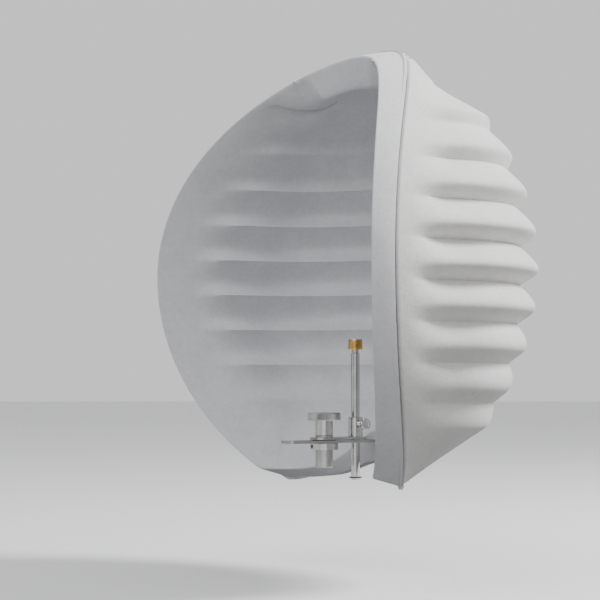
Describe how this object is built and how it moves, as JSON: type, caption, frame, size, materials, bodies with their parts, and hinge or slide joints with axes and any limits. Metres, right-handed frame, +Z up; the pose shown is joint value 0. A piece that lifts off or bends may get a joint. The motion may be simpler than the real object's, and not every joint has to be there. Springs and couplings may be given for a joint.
{
  "type": "microphone isolation shield",
  "caption": "Felt dome acoustic shield on a slotted bar, with a stand adapter, clamp knob and a height-adjustable microphone post.",
  "frame": {"origin": "mouth of the stand socket, on the stand's axis", "axes": "+Z up along the stand, the dome's open side faces -Y, +X to the thumbscrew's side"},
  "size_m": [0.4801, 0.2939, 0.464],
  "materials": {
    "felt_outer": "matte needled felt",
    "felt_inner": "matte needled felt",
    "bright_plate": "polished plating",
    "satin_plate": "satin plating",
    "screw_steel": "zinc plated",
    "brass": "turned brass",
    "black_oxide": "black oxide",
    "fibre": "pressed fibre",
    "block_plastic": "moulded nylon"
  },
  "bodies": {
    "stand_adapter": {"stand_tube": "satin_plate", "seat_collar": "bright_plate", "seat_grub_screw": "black_oxide", "clamp_stud": "screw_steel"},
    "arm": {"arm_plate": "satin_plate", "friction_washer": "fibre", "post_collar": "bright_plate"},
    "shield": {"main_bar": "satin_plate", "outer_shell": "felt_outer", "inner_shell": "felt_inner", "mount_block": "block_plastic", "bar_screws": "screw_steel", "shell_screws": "screw_steel", "shell_washers": "screw_steel", "threaded_inserts": "brass"},
    "post_lift": {"retaining_ring": "black_oxide"},
    "post": {"post_rod": "bright_plate", "mic_thread_adapter": "brass"},
    "clamp_ring": {"clamp_washer": "satin_plate"},
    "clamp_knob": {"clamp_barrel": "bright_plate", "clamp_disc": "satin_plate"},
    "thumb_tip": {"pressure_pad": "brass"},
    "thumb_knob": {"thumbscrew": "bright_plate"}
  },
  "joints": [
    {"name": "arm_swivel", "type": "hinge", "parent": "stand_adapter", "child": "arm", "pos_m": [0, 0, 0.0296], "axis": [0, 0, 1], "continuous": true},
    {"name": "bar_slide", "type": "slide", "parent": "arm", "child": "shield", "axis": [0, 1, 0], "range_m": [-0.01, 0.03]},
    {"name": "post_slide", "type": "slide", "parent": "arm", "child": "post_lift", "axis": [0, 0, 1], "range_m": [-0.07, 0.036]},
    {"name": "post_turn", "type": "hinge", "parent": "post_lift", "child": "post", "pos_m": [0, 0.039, 0], "axis": [0, 0, 1], "continuous": true},
    {"name": "clamp_turn", "type": "hinge", "parent": "clamp_ring", "child": "clamp_knob", "pos_m": [0, 0, 0.0341], "axis": [0, 0, 1], "range_deg": [0, 720]},
    {"name": "clamp_rise", "type": "slide", "parent": "stand_adapter", "child": "clamp_ring", "axis": [0, 0, 1], "range_m": [0, 0.00304]},
    {"name": "thumb_turn", "type": "hinge", "parent": "thumb_tip", "child": "thumb_knob", "pos_m": [0.018, 0.039, 0.0461], "axis": [1, 0, 0], "range_deg": [0, 720]},
    {"name": "thumb_travel", "type": "slide", "parent": "arm", "child": "thumb_tip", "axis": [1, 0, 0], "range_m": [0, 0.0017]}
  ],
  "couplings": [
    {"joint": "clamp_rise", "follows": "clamp_turn", "m_per_rad": 0.00023873},
    {"joint": "thumb_travel", "follows": "thumb_turn", "m_per_rad": 0.00012732}
  ]
}
